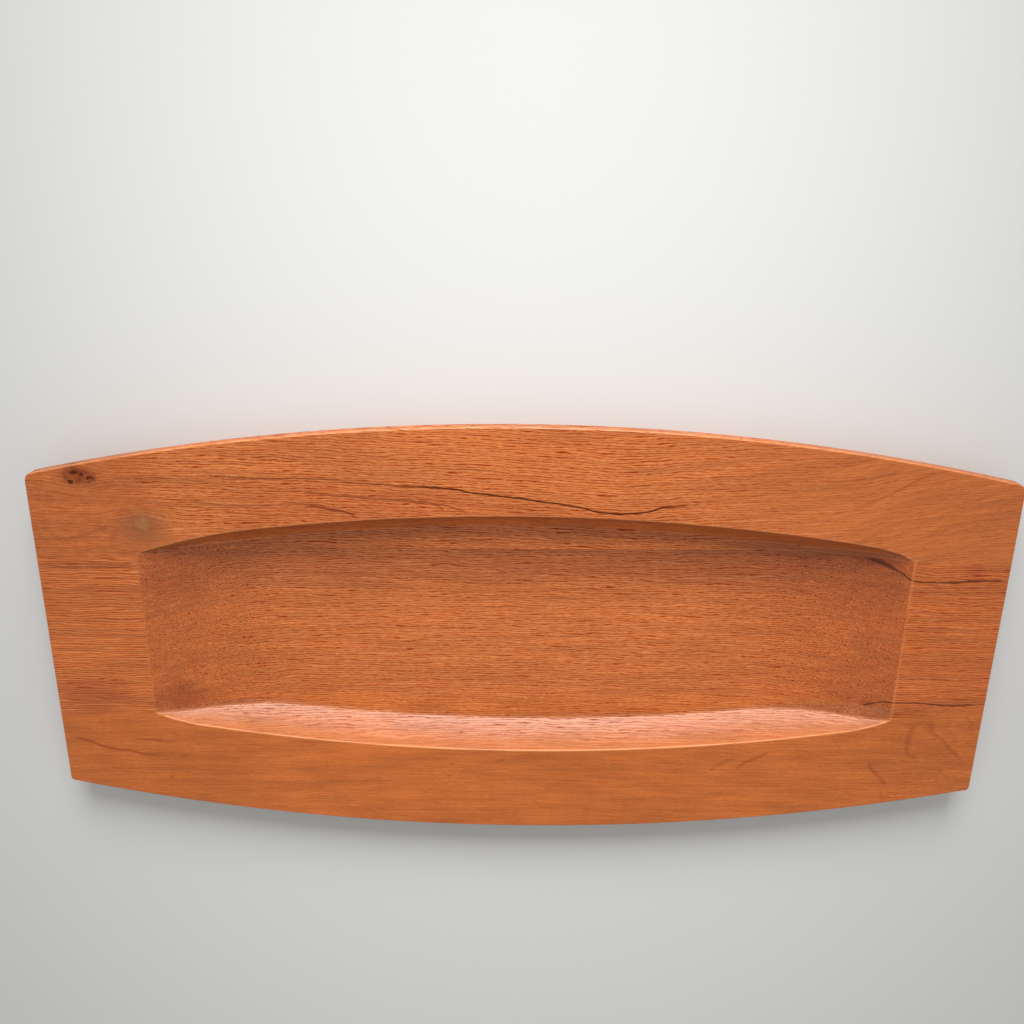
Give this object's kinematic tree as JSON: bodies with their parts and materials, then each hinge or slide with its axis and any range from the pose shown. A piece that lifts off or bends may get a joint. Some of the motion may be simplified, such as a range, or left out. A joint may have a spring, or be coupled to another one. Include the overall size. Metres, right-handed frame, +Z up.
{
  "type": "wooden serving tray",
  "caption": "Long wooden serving tray glued up from boards, with bowed sides, a wide flat rim and a shallow hollow whose floor rises in ramps to both ends.",
  "frame": {"origin": "on the surface that the tray rests on, under the middle of its outline", "axes": "+X along the length to the right end, +Y across the width to the back edge, +Z up out of the hollow"},
  "size_m": [0.61, 0.282, 0.028],
  "materials": {
    "back_board_wood": "oiled satin, wavy grain with dark pores, a knot and a dark hairline",
    "middle_board_wood": "oiled satin, straight tight grain with dark pores",
    "front_board_wood": "oiled satin, smooth with faint figure"
  },
  "bodies": {
    "root": {"back_board": "back_board_wood", "middle_board": "middle_board_wood", "front_board": "front_board_wood"}
  },
  "joints": []
}
